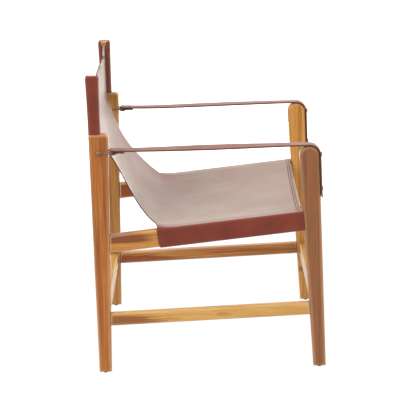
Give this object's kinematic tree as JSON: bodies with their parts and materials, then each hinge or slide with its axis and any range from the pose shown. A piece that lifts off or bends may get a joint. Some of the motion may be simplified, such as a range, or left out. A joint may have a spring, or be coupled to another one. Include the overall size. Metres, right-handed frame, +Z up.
{
  "type": "sling lounge chair",
  "caption": "Low wooden lounge chair with a leather sling seat and back on sleeved rails and posts, and leather strap arms held by wire bails.",
  "frame": {"origin": "on the floor, under the middle of the chair's bounding box", "axes": "+Z up, the sitter faces -Y, +X is the sitter's left"},
  "size_m": [0.6262, 0.62, 0.8245],
  "materials": {
    "frame_wood": "oiled, satin",
    "stretcher_wood": "oiled, satin",
    "sling_leather": "waxed, glossy at a glance",
    "strap_leather": "waxed, satin",
    "fittings": "antiqued",
    "glides": "matte"
  },
  "bodies": {
    "frame": {"rear_leg_right": "frame_wood", "front_leg_right": "frame_wood", "seat_rail_right": "frame_wood", "side_stretcher_right": "stretcher_wood", "arm_strap_front_right": "strap_leather", "bail_pin_right": "fittings", "strap_stud_upper_right": "fittings", "strap_stud_lower_right": "fittings", "foot_glide_rear_right": "glides", "foot_glide_front_right": "glides", "rear_leg_left": "frame_wood", "front_leg_left": "frame_wood", "seat_rail_left": "frame_wood", "side_stretcher_left": "stretcher_wood", "arm_strap_front_left": "strap_leather", "bail_pin_left": "fittings", "strap_stud_upper_left": "fittings", "strap_stud_lower_left": "fittings", "foot_glide_rear_left": "glides", "foot_glide_front_left": "glides", "front_cross_stretcher": "stretcher_wood", "rear_cross_stretcher": "stretcher_wood", "leather_sling": "sling_leather"},
    "strap_right": {"arm_strap_right": "strap_leather", "strap_rivet_right": "fittings"},
    "bail_right": {"strap_bail_right": "fittings"},
    "strap_left": {"arm_strap_left": "strap_leather", "strap_rivet_left": "fittings"},
    "bail_left": {"strap_bail_left": "fittings"}
  },
  "joints": [
    {"name": "strap_flex_right", "type": "hinge", "parent": "frame", "child": "strap_right", "pos_m": [-0.29, -0.27315, 0.624], "axis": [1, 0, 0], "range_deg": [-1.24, 1.24]},
    {"name": "bail_swing_right", "type": "hinge", "parent": "frame", "child": "bail_right", "pos_m": [-0.29, 0.285, 0.6195], "axis": [1, 0, 0], "range_deg": [-18, 18]},
    {"name": "strap_flex_left", "type": "hinge", "parent": "frame", "child": "strap_left", "pos_m": [0.29, -0.27315, 0.624], "axis": [1, 0, 0], "range_deg": [-1.24, 1.24]},
    {"name": "bail_swing_left", "type": "hinge", "parent": "frame", "child": "bail_left", "pos_m": [0.29, 0.285, 0.6195], "axis": [1, 0, 0], "range_deg": [-18, 18]}
  ],
  "couplings": [
    {"joint": "bail_swing_right", "follows": "strap_flex_right", "ratio": -14.5},
    {"joint": "bail_swing_left", "follows": "strap_flex_left", "ratio": -14.5}
  ]
}
